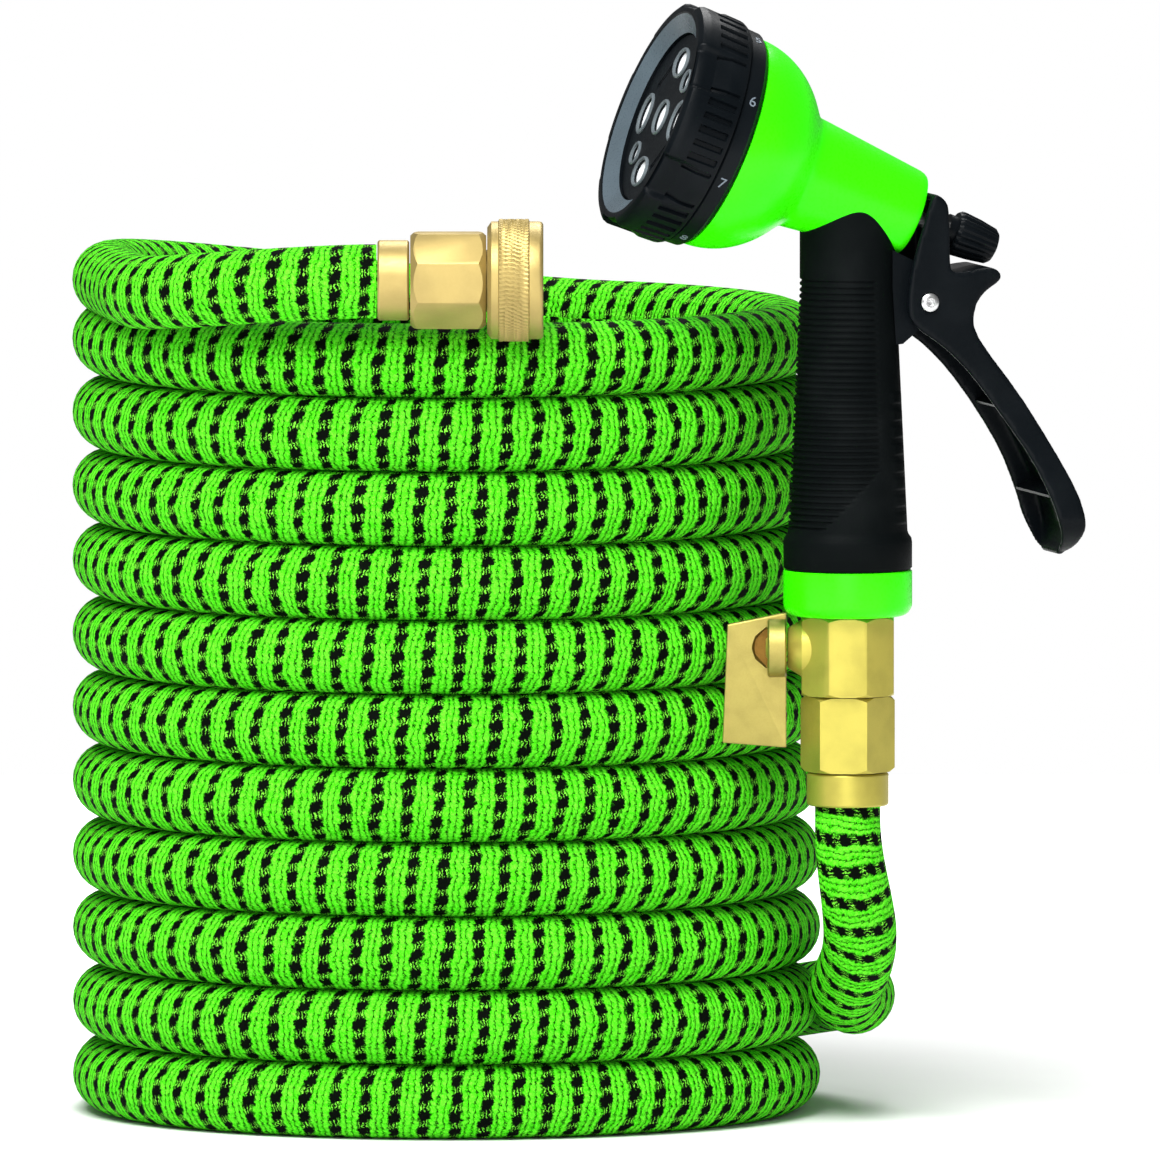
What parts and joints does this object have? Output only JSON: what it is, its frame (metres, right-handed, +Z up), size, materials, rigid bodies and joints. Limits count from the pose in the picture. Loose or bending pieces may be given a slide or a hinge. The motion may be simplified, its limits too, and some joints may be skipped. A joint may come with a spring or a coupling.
{
  "type": "garden hose",
  "caption": "Expandable fabric-covered garden hose in an upright coil, with a brass tap coupling, shut-off valve and trigger spray nozzle.",
  "frame": {"origin": "centre of the whole object's bounding box at floor level, under the coil's foot", "axes": "+Z up along the coil's axis, -Y towards the side where the tap coupling lies, +X towards the side where the spray nozzle stands"},
  "size_m": [0.289, 0.256, 0.3227],
  "materials": {
    "sleeve": "woven, matt",
    "brass": "satin, machined",
    "lime_plastic": "gloss, moulded",
    "grip_rubber": "matt, ribbed",
    "black_plastic": "satin, moulded",
    "slate_plastic": "satin, moulded",
    "steel": "satin"
  },
  "bodies": {
    "hose": {"hose_coil": "sleeve", "hose_top_turn": "sleeve", "hose_riser": "sleeve", "tap_ferrule": "brass", "tap_body": "brass", "valve_ferrule": "brass", "valve_lower_body": "brass", "valve_body": "brass", "nozzle_connector": "lime_plastic", "nozzle_body": "lime_plastic", "handle_grip": "grip_rubber", "dial_collar": "black_plastic", "trigger_bracket": "black_plastic", "trigger_pin": "steel"},
    "swivel": {"tap_swivel_nut": "brass", "tap_washer": "grip_rubber"},
    "lever": {"valve_lever": "brass", "lever_screw": "brass"},
    "dial": {"dial_ring": "black_plastic", "spray_face": "slate_plastic"},
    "squeeze": {"trigger": "black_plastic"},
    "rod": {"push_rod": "steel"},
    "knob": {"flow_knob": "black_plastic"}
  },
  "joints": [
    {"name": "swivel_turn", "type": "hinge", "parent": "hose", "child": "swivel", "pos_m": [-0.05708, -0.11055, 0.24507], "axis": [1, 0, 0], "continuous": true},
    {"name": "valve_turn", "type": "hinge", "parent": "hose", "child": "lever", "pos_m": [0.0767, -0.07819, 0.1381], "axis": [-1, 0, 0], "range_deg": [0, 90]},
    {"name": "dial_turn", "type": "hinge", "parent": "hose", "child": "dial", "pos_m": [0.0767, -0.07819, 0.2684], "axis": [0.8981, 0.2406, -0.3681], "continuous": true},
    {"name": "trigger_squeeze", "type": "hinge", "parent": "hose", "child": "squeeze", "pos_m": [0.09631, -0.07294, 0.2371], "axis": [-0.2588, 0.9659, 0], "range_deg": [0, 18], "stiffness_Nm_per_rad": 0.8, "springref_deg": -8.59},
    {"name": "rod_slide", "type": "slide", "parent": "hose", "child": "rod", "axis": [0.8981, 0.2406, -0.3681], "range_m": [0, 0.0052]},
    {"name": "flow_turn", "type": "hinge", "parent": "rod", "child": "knob", "pos_m": [0.0767, -0.07819, 0.2684], "axis": [0.8981, 0.2406, -0.3681], "continuous": true}
  ],
  "couplings": [
    {"joint": "rod_slide", "follows": "trigger_squeeze", "m_per_rad": 0.0157}
  ]
}
